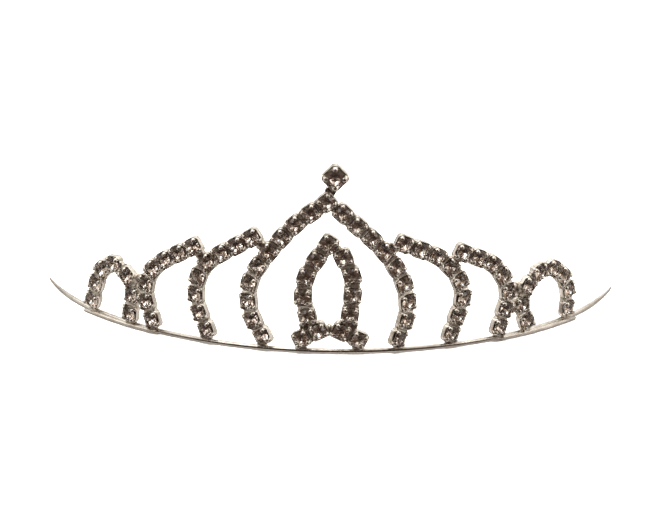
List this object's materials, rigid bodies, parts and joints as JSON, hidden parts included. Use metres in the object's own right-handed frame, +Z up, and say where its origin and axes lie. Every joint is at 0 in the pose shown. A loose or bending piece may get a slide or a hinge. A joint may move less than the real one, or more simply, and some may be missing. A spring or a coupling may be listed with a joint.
{
  "type": "bridal tiara",
  "caption": "Low bridal tiara: an open silver-coloured headband with pointed tips, topped by soldered arches of rhinestone cup chain that rise to a round stone at the centre.",
  "frame": {"origin": "under the middle of the headband's strip, at its front centre, on the plane the tiara stands on", "axes": "+X along the front of the tiara to the viewer's right, -Y out of the ornamented front, +Z up"},
  "size_m": [0.1368, 0.0502, 0.0434],
  "materials": {
    "band_metal": "polished silver plate on a stiff strip",
    "cup_metal": "bright silver plate on stamped cups",
    "solder": "soft grey solder, silver-washed",
    "crystal": "faceted clear rhinestone with a foil back"
  },
  "bodies": {
    "root": {"headband": "band_metal", "side_rail_left": "band_metal", "side_rail_right": "band_metal", "central_arch_left_cups": "cup_metal", "central_arch_left_links": "cup_metal", "central_arch_left_stones": "crystal", "central_arch_right_cups": "cup_metal", "central_arch_right_links": "cup_metal", "central_arch_right_stones": "crystal", "flame_left_cups": "cup_metal", "flame_left_links": "cup_metal", "flame_left_stones": "crystal", "flame_right_cups": "cup_metal", "flame_right_links": "cup_metal", "flame_right_stones": "crystal", "flame_foot_left_cups": "cup_metal", "flame_foot_left_links": "cup_metal", "flame_foot_left_stones": "crystal", "flame_foot_right_cups": "cup_metal", "flame_foot_right_links": "cup_metal", "flame_foot_right_stones": "crystal", "second_arch_left_cups": "cup_metal", "second_arch_left_links": "cup_metal", "second_arch_left_stones": "crystal", "second_arch_right_cups": "cup_metal", "second_arch_right_links": "cup_metal", "second_arch_right_stones": "crystal", "third_arch_left_cups": "cup_metal", "third_arch_left_links": "cup_metal", "third_arch_left_stones": "crystal", "third_arch_right_cups": "cup_metal", "third_arch_right_links": "cup_metal", "third_arch_right_stones": "crystal", "end_loop_left_cups": "cup_metal", "end_loop_left_links": "cup_metal", "end_loop_left_stones": "crystal", "end_loop_right_cups": "cup_metal", "end_loop_right_links": "cup_metal", "end_loop_right_stones": "crystal", "finial_post": "cup_metal", "finial_setting": "cup_metal", "finial_stone": "crystal", "foot_solder": "solder", "bridge_solder": "solder", "rail_solder": "solder"}
  },
  "joints": []
}
